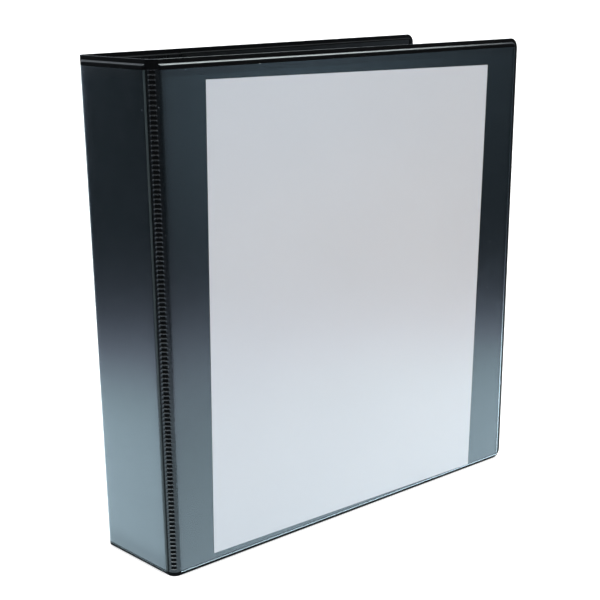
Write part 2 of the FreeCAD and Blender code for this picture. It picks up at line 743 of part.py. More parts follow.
rivet_holes = [
    ("Dim.housing_across", f"Dim.case_height / 2 + {spot}") for spot in RIVET_SPOTS.values()
]
make_spine()
make_web("front_hinge_web", FRONT, "Dim.front_open")
make_web("back_hinge_web", BACK, "Dim.back_open")
make_cover("front", front_frame, OUT, [])
make_insert()
make_cover("back", back_frame, IN, rivet_holes)
make_housing()
for place, spot in RIVET_SPOTS.items():
    make_rivet(f"{place}_rivet", spot)
for word, side in (("left", LEFT), ("right", RIGHT)):
    make_blade(f"{word}_blade", side)
    for place, spot in RING_SPOTS.items():
        make_ring(f"{word}_ring_{place}", side, spot)
for word, end in (("top", TOP), ("bottom", BOTTOM)):
    make_lever(f"{word}_lever", end)
    make_lever_pin(f"{word}_lever_pin", end)

doc.recompute()
for item in doc.Objects:
    if "Invalid" in item.State or "Error" in item.State:
        raise RuntimeError(f"{item.Label} failed: {item.State}")
for body in bodies:
    if body.Shape.isNull() or not body.Shape.isValid():
        raise RuntimeError(f"{body.Label} has no valid shape")

os.makedirs("parts", exist_ok=True)
for body in bodies:
    body.Shape.exportStep(f"parts/{body.Label}.step")
    print(f"{body.Label}: {body.Shape.Volume / 1000:.3f} cm3, {len(body.Shape.Solids)} solid")
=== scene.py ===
import math

import bmesh
import bpy
from mathutils import Matrix, Vector, noise


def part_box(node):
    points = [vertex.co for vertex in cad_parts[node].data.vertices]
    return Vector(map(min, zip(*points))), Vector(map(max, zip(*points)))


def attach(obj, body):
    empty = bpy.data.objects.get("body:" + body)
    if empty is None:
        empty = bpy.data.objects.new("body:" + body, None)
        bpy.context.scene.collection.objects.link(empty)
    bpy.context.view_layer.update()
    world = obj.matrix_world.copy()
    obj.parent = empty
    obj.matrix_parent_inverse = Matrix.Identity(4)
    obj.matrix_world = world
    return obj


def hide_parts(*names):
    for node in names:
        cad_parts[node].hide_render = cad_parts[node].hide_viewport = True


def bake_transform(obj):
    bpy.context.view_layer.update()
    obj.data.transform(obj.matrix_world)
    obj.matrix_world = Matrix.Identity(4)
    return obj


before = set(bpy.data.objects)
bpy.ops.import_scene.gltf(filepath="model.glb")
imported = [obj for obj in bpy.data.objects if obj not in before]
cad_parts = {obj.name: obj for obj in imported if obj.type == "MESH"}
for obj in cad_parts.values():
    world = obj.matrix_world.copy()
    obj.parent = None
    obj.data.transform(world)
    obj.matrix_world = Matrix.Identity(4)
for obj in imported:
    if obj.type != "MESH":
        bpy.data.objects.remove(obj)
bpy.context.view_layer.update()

# Driving sizes in millimetres, the same as the CAD's. A panel has a local frame: u runs
# along it, v is up and w is its normal, measured from the middle of its board.
MM = 0.001
CASE_HEIGHT = 298.5
COVER_WIDTH = 273.0
SPINE_WIDTH = 54.0
WEB_LENGTH = 7.0
FRONT_OPEN = 9.5
BACK_OPEN = -4.1
FLANGE = 2.8
HINGE_MARGIN = 0.45
CORNER_RADIUS = 6.0
VINYL = 0.35
FILM = 0.2
SKIN_FACE = 1.55
OVERLAY_FACE = 2.15
POCKET_FACE = 1.85
OVERLAY_TOP = 293.0
POCKET_ACROSS = 66.0
# The matt part of a welded rim: up to its shoulder, or over it, and short of its very edge.
# A bare band above an overlay's mouth is matt too.
RIM = FLANGE - 0.4
WIDE_RIM = FLANGE + 1.2
TIP = 0.3
BAND = CASE_HEIGHT - OVERLAY_TOP
BAND_START = FLANGE + 0.9
# The roll over the free edge of a cover's overlay: its inner limit, and how much it lies
# lower than a plain shoulder. Along the roll the film reflects about ten times as strongly:
# a painted highlight line. A film keeps some room round the skin under it.
ROLL_HIGHLIGHT = FLANGE + 2.1
ROLL_DROOP = 0.045
FILM_ROOM = 0.1
UP = Vector((0, 0, 1))


# ---- frames of the panels ----

def centre_of(node):
    """The middle of a CAD node's box."""
    low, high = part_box(node)
    return (low + high) / 2


def panel_frame(origin, along):
    """Columns u, v, w and the origin, from panel millimetres to the row frame in metres."""
    along = Vector(along)
    normal = along.cross(UP)
    turn = Matrix((along, UP, normal)).transposed().to_4x4()
    return Matrix.Translation(origin) @ turn @ Matrix.Scale(MM, 4)


def cover_frame(side, opened):
    """A cover's frame, which starts where its hinge web ends."""
    turn = math.radians(90 - opened)
    bend = WEB_LENGTH / turn
    start = Vector(
        (bend * (1 - math.cos(turn)), side * (SPINE_WIDTH / 2 + bend * math.sin(turn)), 0)
    )
    return panel_frame(case_origin + start * MM, (math.sin(turn), side * math.cos(turn), 0))


spine_middle = centre_of("spine_board")
case_origin = Vector((spine_middle.x, spine_middle.y, 0))
front = cover_frame(-1, FRONT_OPEN)
back = cover_frame(1, BACK_OPEN)
spine = panel_frame(case_origin, (0, -1, 0))


# ---- meshes ----

def add_object(name, data):
    """A new object in the scene."""
    made = bpy.data.objects.new(name, data)
    bpy.context.scene.collection.objects.link(made)
    return made


def finish_mesh(name, points, faces, sharp=40):
    """A closed mesh with its faces turned outwards, smooth but for its sharp edges."""
    mesh = bpy.data.meshes.new(name)
    mesh.from_pydata(points, [], faces)
    work = bmesh.new()
    work.from_mesh(mesh)
    bmesh.ops.recalc_face_normals(work, faces=work.faces)
    for face in work.faces:
        face.smooth = True
    limit = math.radians(sharp)
    for edge in work.edges:
        edge.smooth = edge.calc_face_angle(0) < limit
    work.to_mesh(mesh)
    work.free()
    return add_object(name, mesh)


def shell(name, outer, inner, look):
    """A closed sheet between two grids of points with the same rows and columns.

    look(row, column) gives the number of each face's material.
    """
    rows, columns = len(outer), len(outer[0])
    points = [p for grid in (outer, inner) for row in grid for p in row]
    layer = rows * columns
    faces = []
    for i in range(rows - 1):
        for j in range(columns - 1):
            a, b = i * columns + j, (i + 1) * columns + j
            faces.append((a, b, b + 1, a + 1))
            faces.append((layer + a, layer + a + 1, layer + b + 1, layer + b))
    rim = [i * columns for i in range(rows)]
    rim += [(rows - 1) * columns + j for j in range(1, columns)]
    rim += [i * columns + columns - 1 for i in range(rows - 2, -1, -1)]
    rim += [j for j in range(columns - 2, 0, -1)]
    for a, b in zip(rim, rim[1:] + rim[:1]):
        faces.append((a, layer + a, layer + b, b))
    piece = finish_mesh(name, points, faces)
    for k, face in enumerate(piece.data.polygons):
        i, j = divmod(k // 2, columns - 1)
        if i < rows - 1:
            face.material_index = look(i, j)
    return piece


def spread(first, last, step):
    """Values between first and last, both left out, about a step apart."""
    count = max(1, round((last - first) / step))
    return [first + (last - first) * i / count for i in range(1, count)]


def skin_side(margin, soft=False):
    """Lines of (inset, level, inset inside, level inside), from a skin's edge to its field.

    A level is a height over the middle of the board. margin is the width of the flat rim,
    and soft makes a longer, gentler shoulder.
    """
    inner = SKIN_FACE - VINYL
    lines = [
        (0.0, 0.08, 0.0, 0.0),
        (0.09, 0.15, 0.09, 0.0),
        (0.24, 0.19, 0.24, 0.0),
        (margin - 0.75, 0.35, margin - 0.75, 0.0),
        (margin - 0.42, 0.37, margin - 0.3, 0.0),
        (margin - 0.2, 0.45, margin + 0.15, 0.0),
        (margin - 0.06, 0.66, margin + 0.3, 0.25),
        (margin, 0.9, margin + 0.36, 0.6),
        (margin + 0.05, 1.12, margin + 0.38, 0.9),
        (margin + 0.16, 1.32, margin + 0.42, 1.08),
    ]
    if soft:
        lines += [
            (margin + 0.33, 1.4, margin + 0.5, inner - 0.03),
            (margin + 0.75, 1.48, margin + 0.8, inner),
            (margin + 1.4, 1.53, margin + 1.4, inner),
            (margin + 2.1, SKIN_FACE, margin + 2.1, inner),
        ]
    else:
        lines += [
            (margin + 0.33, 1.46, margin + 0.5, inner - 0.03),
            (margin + 0.55, 1.53, margin + 0.65, inner),
            (margin + 0.85, SKIN_FACE, margin + 0.85, inner),
        ]
    return in_order(lines)


def film_side(margin, rim, face, slack, soft=False, droop=0.0):
    """The same for a film, which follows a skin's edge with a little room round it.

    rim and face are the levels of its rim and its field, and droop lowers a soft shoulder.
    """
    out = 0.3 + slack
    start = margin - out
    lines = [
        (0.0, rim - 0.27, 0.0, rim - FILM - 0.25),
        (0.07, rim - 0.2, 0.07, rim - FILM - 0.19),
        (0.2, rim - 0.16, 0.2, rim - FILM - 0.16),
        (margin - 1.1, rim - 0.02, margin - 1.1, rim - FILM - 0.02),
        (margin - 0.6 - slack, rim + 0.01, margin - 0.55 - slack, rim - FILM),
        (start - 0.1, rim + 0.1, start + 0.02, rim - FILM + 0.06),
        (start, rim + 0.35, start + 0.14, rim - FILM + 0.3),
        (start + 0.05, 0.5 * (rim + face), start + 0.22, 0.5 * (rim + face) - 0.06),
        (start + 0.14, face - 0.38, start + 0.32, face - 0.46),
    ]
    if soft:
        lines += [
            (start + 0.34, face - droop - 0.18, start + 0.47, face - droop - 0.33),
            (start + 0.85, face - droop - 0.08, start + 0.9, face - droop - 0.27),
            (start + 1.6, face - droop - 0.025, start + 1.6, face - droop - FILM - 0.02),
            (start + 2.4, face, start + 2.4, face - FILM),
        ]
    else:
        lines += [
            (start + 0.32, face - 0.14, start + 0.45, face - 0.29),
            (start + 0.62, face - 0.03, start + 0.68, face - 0.215),
            (start + 1.0, face, start + 1.0, face - FILM),
        ]
    return in_order(lines)


def open_side(face, thickness):
    """A film's free edge, which stands at the level of its field."""
    return [
        (0.0, face - 0.05, 0.0, face - thickness + 0.05),
        (0.06, face, 0.06, face - thickness),
    ]


# The least distance between two lines of a side, outside and inside.
LEAST_OUTSIDE, LEAST_INSIDE = 0.02, 0.005


def in_order(lines):
    """A side that is too narrow for all its lines keeps its edge and the inner ones."""
    kept = [lines[-1]]
    for line in reversed(lines[1:-1]):
        fits_outside = 0 < line[0] < kept[-1][0] - LEAST_OUTSIDE
        if fits_outside and 0 < line[2] < kept[-1][2] - LEAST_INSIDE:
            kept.append(line)
    return [lines[0]] + kept[::-1]


# A sheet's grid: its lines round a corner, clear of a side's last line, and over its field.
CORNER_START = 3.9
CORNER_STEP = 0.5
CORNER_CLEAR = 0.2
FIELD_STEP = 6.0
# The swell starts this far from the edges, and grows over this width.
CALM_EDGE = 4
CALM_REACH = 24
# The matt rim climbs the shoulder at the right and at the foot, and the band of painted
# highlight on the roll is narrower at the foot.
MATT_AT_RIGHT = 1.7
MATT_AT_FOOT = 1.2
ROLL_HIGHLIGHT_AT_FOOT = 0.68


def formed_sheet(
    name, place, box, sides, round_corners, facing, levels, swell, matt=(RIM, 0), roll_highlight=0
):
    """A welded sheet: flat rims, shoulders, and a raised field with a slight swell.

    box is (left, right, bottom, top), sides their profiles, levels the field's height and
    the sheet's thickness, and round_corners the corners (0 or 1 for left or right, 0 or 1
    for bottom or top) that follow the corner radius. matt is the width of the matt rims,
    and the inner limit of a matt band along the top. roll_highlight is the inner limit of a
    band beside the right and bottom rims that takes a far shinier or lighter material there:
    a painted highlight.
    """
    face, thickness = levels
    left, right, bottom, top = box

    def with_corner(side):
        """A side with more lines through the round corner, if the sheet has one."""
        steps = []
        if round_corners:
            steps = spread(CORNER_START, CORNER_RADIUS, CORNER_STEP) + [CORNER_RADIUS]
        clear = side[-1][0] + CORNER_CLEAR
        return side + [(d, face, d, face - thickness) for d in steps if d > clear]

    def lines_of(low, high, first, last):
        """Lines from low to high: one side's, even steps over the field, the other side's."""
        lower, upper = with_corner(first), with_corner(last)
        made = [(low + d, w, low + d_in, w_in) for d, w, d_in, w_in in lower]
        for p in spread(low + lower[-1][0], high - upper[-1][0], FIELD_STEP):
            made.append((p, face, p, face - thickness))
        made += [(high - d, w, high - d_in, w_in) for d, w, d_in, w_in in reversed(upper)]
        return made

    columns = lines_of(left, right, sides[0], sides[1])
    rows = lines_of(bottom, top, sides[2], sides[3])

    def bend_corner(u, v):
        """Moves a point near a round corner from its square ring onto a round one."""
        for at_right, at_top in round_corners:
            corner_u, corner_v = (right if at_right else left), (top if at_top else bottom)
            way_u, way_v = (1 if at_right else -1), (1 if at_top else -1)
            a = 1 - abs(corner_u - u) / CORNER_RADIUS
            b = 1 - abs(corner_v - v) / CORNER_RADIUS
            if a > 0 and b > 0:
                angle = math.pi / 4 * (b / a if a >= b else 2 - a / b)
                ring = CORNER_RADIUS * max(a, b)
                u = corner_u - way_u * (CORNER_RADIUS - ring * math.cos(angle))
                v = corner_v - way_v * (CORNER_RADIUS - ring * math.sin(angle))
        return u, v

    def grid(inside):
        """Points of the sheet's outside or inside, column by column."""
        made = []
        for column in columns:
            line = []
            for row in rows:
                u, v = (column[2], row[2]) if inside else (column[0], row[0])
                w = min(column[3], row[3]) if inside else min(column[1], row[1])
                edge = min(u - left, right - u, v - bottom, top - v)
                calm = min(1, max(0, (edge - CALM_EDGE) / CALM_REACH))
                if calm:
                    w += swell(u, v) * calm * calm * (3 - 2 * calm)
                u, v = bend_corner(u, v)
                line.append(place @ Vector((u, v, facing * w)))
            made.append(line)
        return made

    rims = [matt[0] if side[-1][0] > FLANGE else 0 for side in sides]

    def look(i, j):
        """The material's number: 0 over the field, 1 on matt rims, 2 on the band of painted
        highlight.
        """
        from_left, from_right = columns[i + 1][0] - left, right - columns[i][0]
        from_foot, from_top = rows[j + 1][0] - bottom, top - rows[j][0]
        rim = (
            from_left <= rims[0]
            or from_right <= rims[1] * MATT_AT_RIGHT
            or from_foot <= rims[2] * MATT_AT_FOOT
            or TIP < from_top <= rims[3]
            or BAND_START < from_top <= matt[1]
        )
        if not rim and (from_right < roll_highlight or from_foot < roll_highlight * ROLL_HIGHLIGHT_AT_FOOT):
            return 2
        return int(rim)

    return shell(name, grid(False), grid(True), look)


def waves(height, length, seed):
    """A smooth swell of about that height in millimetres, its waves about that long."""

    def swell(u, v):
        spot = Vector((u / length + seed, v / (1.7 * length) - seed, 0.37 * seed))
        return height * noise.noise(spot)

    return swell


# ---- the case ----

FREE_CORNERS = ((1, 0), (1, 1))
HINGE_SKIN = skin_side(HINGE_MARGIN)
FREE_SKIN = skin_side(FLANGE)
SOFT_SKIN = skin_side(FLANGE, True)
TOP_SKIN = FREE_SKIN + [(BAND, SKIN_FACE, BAND, SKIN_FACE - VINYL)]
HINGE_FILM = film_side(HINGE_MARGIN, VINYL + FILM, OVERLAY_FACE, FILM_ROOM)
SOFT_FILM = film_side(FLANGE, VINYL + FILM, OVERLAY_FACE, FILM_ROOM, True)
ROLLED_FILM = film_side(FLANGE, VINYL + FILM, OVERLAY_FACE, FILM_ROOM, True, ROLL_DROOP)
FREE_POCKET = film_side(FLANGE, VINYL + FILM, POCKET_FACE, 0.0)


def dress(piece, materials, node, body):
    """Gives a piece its materials, in place of a CAD node, riding on a body."""
    for material in materials:
        piece.data.materials.append(material)
    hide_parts(node)
    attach(piece, body)


def skins(prefix, place, limits, sides, round_corners, out, wave, body):
    """A panel's outer and inner vinyl. limits are its left and right, wave a length and seed."""
    length, seed = wave
    for label, way, skin, matt in (
        ("outer", out, lined_vinyl, (RIM, BAND)),
        ("inner", -out, vinyl, (WIDE_RIM, 0)),
    ):
        made = formed_sheet(
            f"{prefix}_{label}_vinyl", place, (*limits, 0, CASE_HEIGHT), sides, round_corners,
            way, (SKIN_FACE, VINYL), waves(0.05, length, seed + way), matt,
        )
        dress(made, (skin, pressed_vinyl), f"{prefix}_{label}_skin", body)


def cover(prefix, place, out, body, seed):
    """A cover's two skins, its clear overlay outside and its pocket inside."""
    sides = (HINGE_SKIN, SOFT_SKIN, SOFT_SKIN, TOP_SKIN)
    skins(prefix, place, (0, COVER_WIDTH), sides, FREE_CORNERS, out, (38, seed), body)
    film_sides = (HINGE_FILM, ROLLED_FILM, SOFT_FILM, open_side(OVERLAY_FACE, FILM))
    made = formed_sheet(
        f"{prefix}_clear_overlay", place, (0, COVER_WIDTH, 0, OVERLAY_TOP), film_sides,
        ((1, 0),), out, (OVERLAY_FACE, FILM), waves(0.09, 60, seed + 5), roll_highlight=ROLL_HIGHLIGHT,
    )
    dress(made, (film, pressed_vinyl, roll_highlight_film), f"{prefix}_overlay", body)
    pocket_sides = (open_side(POCKET_FACE, FILM), FREE_POCKET, FREE_POCKET, FREE_POCKET)
    made = formed_sheet(
        f"{prefix}_inside_pocket", place, (POCKET_ACROSS, COVER_WIDTH, 0, CASE_HEIGHT),
        pocket_sides, FREE_CORNERS, -out, (POCKET_FACE, FILM), waves(0.05, 45, seed + 9),
        (WIDE_RIM, 0),
    )
    dress(made, (pocket_vinyl, pressed_vinyl), f"{prefix}_inner_pocket", body)


def spine_panel():
    """The spine's two skins and its clear overlay."""
    half = SPINE_WIDTH / 2
    sides = (HINGE_SKIN, HINGE_SKIN, SOFT_SKIN, TOP_SKIN)
    skins("spine", spine, (-half, half), sides, (), 1, (30, 3), "spine")
    film_sides = (HINGE_FILM, HINGE_FILM, SOFT_FILM, open_side(OVERLAY_FACE, FILM))
    # Its narrow band along the right edge takes the lighter film, a painted highlight line.
    made = formed_sheet(
        "spine_clear_overlay", spine, (-half, half, 0, OVERLAY_TOP), film_sides, (), 1,
        (OVERLAY_FACE, FILM), waves(0.08, 44, 17), roll_highlight=TIP,
    )
    dress(made, (film, pressed_vinyl, edge_highlight_film), "spine_overlay", "spine")


# Ladder pressed into a hinge web: its rungs, and half widths of its cells and rails.
RUNGS = 111
LADDER_START = 4.0
LADDER_END = 293.2
LADDER_MARGIN = 0.5
WEB_TOP = CASE_HEIGHT - 1.5
CELL, RAIL_IN, RAIL_OUT, RAIL_END = 1.5, 1.7, 1.95, 2.15
RUNG_END = 0.8 * CELL
# Places along one pitch, and how much of a rung stands there.
RUNG_SHAPE = ((0.0, 1.0), (0.09, 0.8), (0.15, 0.0), (0.5, 0.0), (0.85, 0.0), (0.91, 0.8))
CELL_DEPTH, RUNG_RISE = 0.34, 0.32
RAIL_RISE, RAIL_STEP = 0.02, 0.1
# The inside of the web shows this much of the pressing.
SHOWN_THROUGH = 0.35


def ladder_level(across, rung):
    """Height of the pressed web, in millimetres: black cells between rungs and rails."""
    x = abs(across)
    if x <= CELL:
        return RUNG_RISE * rung - CELL_DEPTH
    if x <= RAIL_OUT:
        return RAIL_STEP * rung + RAIL_RISE
    return 0.0


def web_lines():
    """Lines across a web, and its heights with their share of a rung, or None off the ladder."""
    marks = [0, 0.7, 1.2, CELL, RAIL_IN, RAIL_OUT, RAIL_END, 2.8, WEB_LENGTH / 2]
    across = [-m for m in reversed(marks[1:])] + marks
    pitch = (LADDER_END - LADDER_START) / RUNGS
    heights = [(0.0, None), (RIM, None), (LADDER_START - LADDER_MARGIN, None)]
    for i in range(RUNGS):
        heights += [(LADDER_START + (i + z) * pitch, rung) for z, rung in RUNG_SHAPE]
    heights += [(LADDER_END, 1.0), (LADDER_END + LADDER_MARGIN, None)]
    heights += [(WEB_TOP, None), (CASE_HEIGHT, None)]
    return across, heights


def hinge_web(name, side, opened, node):
    """A web bent round the case's corner, with the ladder pressed into it."""
    turn = math.radians(90 - opened)
    bend = WEB_LENGTH / turn
    across, heights = web_lines()
    outer, inner = [], []
    for s in across:
        angle = turn * (s / WEB_LENGTH + 0.5)
        ray = Vector((-math.cos(angle), side * math.sin(angle), 0))
        middle = Vector((bend, side * SPINE_WIDTH / 2, 0))
        line_out, line_in = [], []
        for z, rung in heights:
            raised = 0.0 if rung is None else ladder_level(s, rung)
            pressed = SHOWN_THROUGH * raised
            up = Vector((0, 0, z))
            line_out.append(case_origin + MM * (middle + ray * (bend + VINYL + raised) + up))
            line_in.append(case_origin + MM * (middle + ray * (bend - VINYL + pressed) + up))
        outer.append(line_out)
        inner.append(line_in)

    def web_look(i, j):
        """The material's number: 0 plain web, 1 black cells and ends, 2 rung ends and 3 rungs, both
        lighter than the web: a painted highlight.
        """
        reach = max(abs(across[i]), abs(across[i + 1]))
        rungs = heights[j][1], heights[j + 1][1]
        if reach <= CELL and rungs == (0, 0) or j == 0 or heights[j][0] >= OVERLAY_TOP:
            return 1
        if reach > RAIL_OUT or None in rungs or not any(rungs):
            return 0
        return 2 if reach > RUNG_END else 3

    made = shell(name, outer, inner, web_look)
    for material in (hinge_vinyl, pressed_vinyl, rail_highlight_vinyl, rung_highlight_vinyl):
        made.data.materials.append(material)
    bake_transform(made)
    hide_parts(node)


# ---- materials ----

class Nodes:
    """Short hand for building the nodes of one material, or of the world."""

    def __init__(self, name, world=False):
        self.holder = bpy.data.worlds.new(name) if world else bpy.data.materials.new(name)
        self.holder.use_nodes = True
        self.tree = self.holder.node_tree
        self.tree.nodes.clear()
        self.output = self.add("ShaderNodeOutputWorld" if world else "ShaderNodeOutputMaterial")
        self.place = self.add("ShaderNodeTexCoord").outputs["Generated" if world else "Object"]

    def add(self, kind, inputs=(), **settings):
        """A node with its settings, and its inputs as values or links."""
        node = self.tree.nodes.new(kind)
        for key, value in settings.items():
            setattr(node, key, value)
        for key, value in dict(inputs).items():
            socket = node.inputs[key]
            if isinstance(value, bpy.types.NodeSocket):
                self.tree.links.new(value, socket)
            else:
                socket.default_value = value
        return node

    def noise(self, scale, detail=3.0, roughness=0.5, stretch=None):
        """Noise in the object's own space, stretched by a scale for each axis."""
        vector = self.place
        if stretch:
            vector = self.add(
                "ShaderNodeMapping", {"Vector": vector, "Scale": stretch}
            ).outputs["Vector"]
        return self.add(
            "ShaderNodeTexNoise",
            {"Vector": vector, "Scale": scale, "Detail": detail, "Roughness": roughness},
        ).outputs["Fac"]

    def ramp(self, value, stops):
        """A colour by value, between stops of (position, colour)."""
        node = self.add("ShaderNodeValToRGB", {"Fac": value})
        band = node.color_ramp
        while len(band.elements) < len(stops):
            band.elements.new(0.5)
        for element, (spot, colour) in zip(band.elements, stops):
            element.position = spot
            element.color = (*colour, 1)
        return node.outputs["Color"]

    def span(self, value, low, high, source=(0.3, 0.7)):
        """The value's way through the source range, as the same way from low to high."""
        return self.add(
            "ShaderNodeMapRange",
            {
                "Value": value,
                "From Min": source[0],
                "From Max": source[1],
                "To Min": low,
                "To Max": high,
            },
        ).outputs["Result"]

    def number(self, operation, *values):
        """Arithmetic on numbers."""
        return self.add(
            "ShaderNodeMath", dict(enumerate(values)), operation=operation
        ).outputs["Value"]

    def vector(self, operation, *values):
        """Arithmetic on vectors, which gives a number for a product or a length."""
        node = self.add("ShaderNodeVectorMath", dict(enumerate(values)), operation=operation)
        return node.outputs["Value" if operation in ("DOT_PRODUCT", "LENGTH") else "Vector"]

    def sum(self, a, b, share=1.0):
        """a plus a share of b."""
        return self.number("MULTIPLY_ADD", b, share, a)

    def mix(self, share, first, second):
        """A blend of two shaders, with that share of the second."""
        inputs = {0: share, 1: first, 2: second}
        return self.add("ShaderNodeMixShader", inputs).outputs["Shader"]

    def both(self, first, second):
        """Two shaders added up."""
        return self.add("ShaderNodeAddShader", {0: first, 1: second}).outputs["Shader"]

    def glow(self, colour, strength, kind="Emission"):
        """Light from a surface, or from the world as a Background."""
        inputs = {"Color": colour, "Strength": strength}
        return self.add(f"ShaderNode{kind}", inputs).outputs[0]

    def bump(self, height, strength, distance, normal=None):
        """A normal tilted by a height field, on top of another normal."""
        inputs = {"Height": height, "Strength": strength, "Distance": distance}
        if normal:
            inputs["Normal"] = normal
        return self.add("ShaderNodeBump", inputs).outputs["Normal"]

    def shader(self, **inputs):
        """A principled surface. An underscore stands for a space in an input's name."""
        named = {key.replace("_", " "): value for key, value in inputs.items()}
        return self.add("ShaderNodeBsdfPrincipled", named).outputs["BSDF"]

    def done(self, shader):
        """Links the finished shader, and gives the material or world."""
        self.tree.links.new(shader, self.output.inputs["Surface"])
        return self.holder


# Specks of dust: their colour, their size as a distance, and which cells have one.
DUST = (0.08, 0.09, 0.1, 1)
SPECK_SIZE = (0.03, 0.06)
SPECK_CELLS = (0.62, 0.66)


def make_vinyl(name, dark, light, rough, grain, **gloss):
    """Calendered vinyl: near black, satin, a fine grain, and a few specks of dust."""
    n = Nodes(name)
    fine = n.noise(1400, 2.0)
    broad = n.noise(140, 3.0)
    cloud = n.noise(22, 3.0)
    plain = n.ramp(cloud, ((0.3, dark), (0.7, light)))
    cells = n.add("ShaderNodeTexVoronoi", {"Vector": n.place, "Scale": 120})
    near = n.span(cells.outputs["Distance"], 1.0, 0.0, SPECK_SIZE)
    few = n.span(cells.outputs["Color"], 0.0, 1.0, SPECK_CELLS)
    dust = {0: n.number("MULTIPLY", near, few), 6: plain, 7: DUST}
    colour = n.add("ShaderNodeMix", dust, data_type="RGBA").outputs[2]
    sheen = n.span(broad, rough - 0.05, rough + 0.06)
    normal = n.bump(fine, grain, 0.00004)
    return n.done(n.shader(Base_Color=colour, Roughness=sheen, Normal=normal, **gloss))


# Shares of a film's reflection: seen straight on, where a gentle rise towards its edge-on
# view ends, and what a steep rise adds.
FACING_SHARE, GENTLE_SHARE, STEEP_SHARE = 0.04, 0.29, 0.71
GENTLE_POWER, STEEP_POWER = 2.6, 8.0


def make_film(name, gloss, rough):
    """Clear film: lets the colour under it through, and reflects by its angle to the view."""
    n = Nodes(name)
    broad = n.noise(30, 2.0)
    haze = n.noise(700, 3.0)
    normal = n.bump(haze, 0.05, 0.00004, n.bump(broad, 0.06, 0.0006))
    edge = n.add("ShaderNodeLayerWeight", {"Blend": 0.5, "Normal": normal}).outputs["Facing"]
    gentle = n.number("POWER", edge, GENTLE_POWER)
    steep = n.number("POWER", edge, STEEP_POWER)
    share = n.span(gentle, FACING_SHARE * gloss, GENTLE_SHARE * gloss, (0.0, 1.0))
    amount = n.sum(share, steep, STEEP_SHARE * gloss)
    through = n.add(
        "ShaderNodeBsdfTransparent", {"Color": (0.975, 0.985, 0.99, 1)}
    ).outputs["BSDF"]
    mirror = n.add(
        "ShaderNodeBsdfGlossy",
        {
            "Color": (1, 1, 1, 1),
            "Roughness": n.span(haze, rough - 0.02, rough + 0.02),
            "Normal": normal,
        },
    ).outputs["BSDF"]
    return n.done(n.mix(amount, through, mirror))


def make_card():
    """Coated white card with a trace of its fibres."""
    n = Nodes("white_card")
    fibre = n.noise(900, 4.0, 0.6)
    cloud = n.noise(16, 2.0)
    colour = n.ramp(cloud, ((0.3, (0.69, 0.715, 0.77)), (0.7, (0.704, 0.728, 0.784))))
    normal = n.bump(fibre, 0.08, 0.00003)
    rough = n.span(fibre, 0.16, 0.22)
    gloss = {"Specular_IOR_Level": 0.6, "Coat_Weight": 0.35, "Coat_Roughness": 0.1}
    return n.done(n.shader(Base_Color=colour, Roughness=rough, Normal=normal, **gloss))


def make_greyboard():
    """Recycled greyboard with dark and pale flecks."""
    n = Nodes("greyboard")
    fleck = n.noise(1500, 4.0, 0.7)
    cloud = n.noise(60, 3.0)
    colour = n.ramp(
        n.sum(fleck, cloud, 0.4),
        ((0.45, (0.2, 0.18, 0.16)), (0.62, (0.36, 0.34, 0.31)), (0.85, (0.5, 0.48, 0.44))),
    )
    normal = n.bump(fleck, 0.5, 0.0001)
    return n.done(n.shader(Base_Color=colour, Roughness=n.span(fleck, 0.8, 0.95), Normal=normal))


def make_metal(name, dull, bright, rough, stretch):
    """Plated or brushed steel: fine lines along its drawing direction, and faint smears."""
    n = Nodes(name)
    lines = n.noise(900, 3.0, 0.6, stretch)
    smear = n.noise(45, 3.0)
    colour = n.ramp(smear, ((0.3, dull), (0.7, bright)))
    uneven = n.span(n.sum(lines, smear, 0.5), rough * 0.7, rough * 1.5, (0.5, 1.0))
    normal = n.bump(lines, 0.08, 0.00003)
    return n.done(
        n.shader(Base_Color=colour, Metallic=1.0, Roughness=uneven, Normal=normal)
    )


BLACK = (0.0024, 0.0026, 0.003), (0.0036, 0.0039, 0.0044)
vinyl = make_vinyl("vinyl_black", *BLACK, 0.28, 0.18, Specular_IOR_Level=0.35)
lined_vinyl = make_vinyl(
    "lined_vinyl", *BLACK, 0.16, 0.12, Specular_IOR_Level=0.9, Coat_Weight=0.4, Coat_Roughness=0.1
)
# A lighter grey vinyl for a thin band along the spine overlay's edge: a painted highlight line.
edge_highlight_film = make_vinyl("edge_highlight_film", (0.03, 0.042, 0.045), (0.045, 0.06, 0.064), 0.2, 0.1)
hinge_vinyl = make_vinyl("hinge_vinyl", *BLACK, 0.2, 0.12, Specular_IOR_Level=0.6)
pressed_vinyl = make_vinyl("pressed_vinyl", *BLACK, 0.5, 0.2, Specular_IOR_Level=0.03)
# Rung ends and rungs of the hinge ladders: vinyl several times lighter than the black, a painted
# highlight where they would catch the light.
rail_highlight_vinyl = make_vinyl(
    "rail_highlight_vinyl", (0.024, 0.026, 0.027), (0.03, 0.032, 0.034), 0.25, 0.1,
    Specular_IOR_Level=0.6, Coat_Weight=0.6, Coat_Roughness=0.2,
)
rung_highlight_vinyl = make_vinyl(
    "rung_highlight_vinyl", (0.013, 0.014, 0.015), (0.018, 0.019, 0.02), 0.25, 0.1,
    Specular_IOR_Level=0.6, Coat_Weight=0.6, Coat_Roughness=0.2,
)
pocket_vinyl = make_vinyl(
    "inner_pocket_film", (0.0042, 0.0046, 0.005), (0.0056, 0.006, 0.0066), 0.38, 0.3,
    Specular_IOR_Level=0.3,
)
film = make_film("clear_film", 0.5, 0.11)
# Along the roll the film reflects about ten times as strongly as clear film: a painted highlight
# line.
roll_highlight_film = make_film("roll_highlight_film", 5.2, 0.11)
card = make_card()
greyboard = make_greyboard()
nickel = make_metal("nickel_steel", (0.5, 0.5, 0.49), (0.66, 0.655, 0.64), 0.16, (1, 1, 0.06))
blade_steel = make_metal("blade_steel", (0.4, 0.4, 0.4), (0.55, 0.55, 0.54), 0.34, (1, 1, 0.03))

